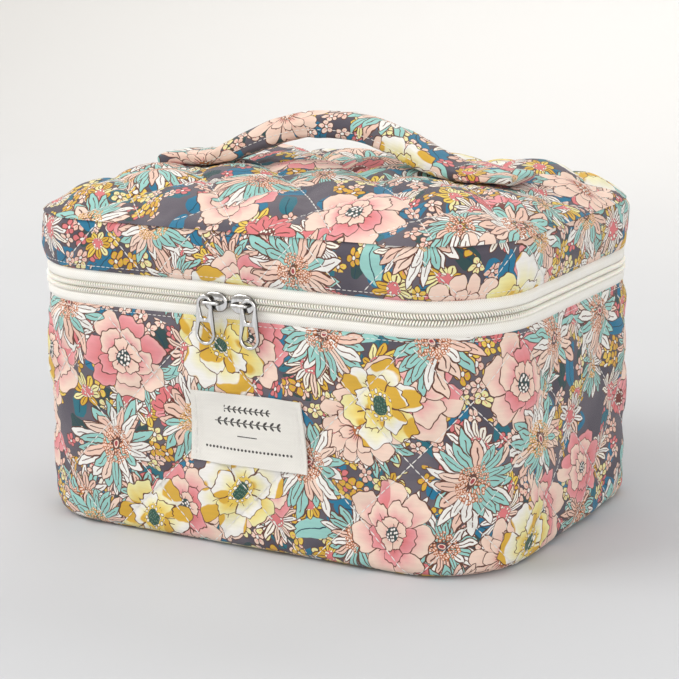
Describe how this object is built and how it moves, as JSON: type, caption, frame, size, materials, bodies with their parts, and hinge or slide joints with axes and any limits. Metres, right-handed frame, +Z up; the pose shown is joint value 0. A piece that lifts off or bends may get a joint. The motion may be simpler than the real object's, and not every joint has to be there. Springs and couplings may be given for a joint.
{
  "type": "makeup bag",
  "caption": "Rounded box makeup bag in quilted floral cotton: zipped lid hinged at the back, rolled top handle, metal zip sliders with pulls, small sewn label.",
  "frame": {"origin": "centre of the base, on the surface the bag stands on", "axes": "+X to the right along the front, +Y from the front to the hinge at the back, +Z up"},
  "size_m": [0.225, 0.1729, 0.169],
  "materials": {
    "print_cotton": "matte printed cotton, quilted",
    "batting": "soft polyester batting",
    "lining": "matte plain-weave lining",
    "binding": "matte woven binding tape",
    "zip_tape": "matte woven herringbone tape",
    "zip_coil": "satin nylon",
    "label_cotton": "matte cotton twill",
    "thread": "spun polyester thread",
    "polished_zinc": "polished, bright nickel"
  },
  "bodies": {
    "base": {"wall_fabric": "print_cotton", "back_panel_lower": "print_cotton", "base_fabric": "print_cotton", "wall_padding": "batting", "base_padding": "batting", "wall_lining": "lining", "base_lining": "lining", "base_seam_binding": "binding", "lower_zip_binding": "binding", "lower_zip_tape": "zip_tape", "lower_zip_coil": "zip_coil", "hinge_facing_lower": "binding", "label": "label_cotton", "label_stitches": "thread"},
    "lid": {"lid_band_fabric": "print_cotton", "back_panel_upper": "print_cotton", "lid_top_fabric": "print_cotton", "lid_band_padding": "batting", "lid_top_padding": "batting", "lid_band_lining": "lining", "lid_top_lining": "lining", "lid_seam_binding": "binding", "upper_zip_binding": "binding", "upper_zip_tape": "zip_tape", "upper_zip_coil": "zip_coil", "hinge_facing_upper": "binding", "handle_tab_left": "print_cotton", "handle_tab_right": "print_cotton", "tab_stitches": "thread"},
    "handle": {"handle_sleeve": "print_cotton", "handle_core": "batting"},
    "slider_left": {"left_slider": "polished_zinc"},
    "slider_right": {"right_slider": "polished_zinc"},
    "pull_left": {"left_pull": "polished_zinc"},
    "pull_right": {"right_pull": "polished_zinc"}
  },
  "joints": [
    {"name": "lid_hinge", "type": "hinge", "parent": "base", "child": "lid", "pos_m": [0, 0.084, 0.1025], "axis": [-1, 0, 0], "range_deg": [0, 110]},
    {"name": "handle_tilt", "type": "hinge", "parent": "lid", "child": "handle", "pos_m": [0, 0, 0.147], "axis": [1, 0, 0], "range_deg": [-50, 50], "stiffness_Nm_per_rad": 0.03},
    {"name": "slider_left_travel", "type": "slide", "parent": "base", "child": "slider_left", "axis": [-1, 0, 0], "range_m": [0, 0.055]},
    {"name": "slider_right_travel", "type": "slide", "parent": "base", "child": "slider_right", "axis": [1, 0, 0], "range_m": [0, 0.055]},
    {"name": "pull_left_swing", "type": "hinge", "parent": "slider_left", "child": "pull_left", "pos_m": [-0.0103, -0.0866, 0.1025], "axis": [0, 1, 0], "range_deg": [0, 90]},
    {"name": "pull_right_swing", "type": "hinge", "parent": "slider_right", "child": "pull_right", "pos_m": [0.0103, -0.0866, 0.1025], "axis": [0, -1, 0], "range_deg": [0, 90]}
  ]
}
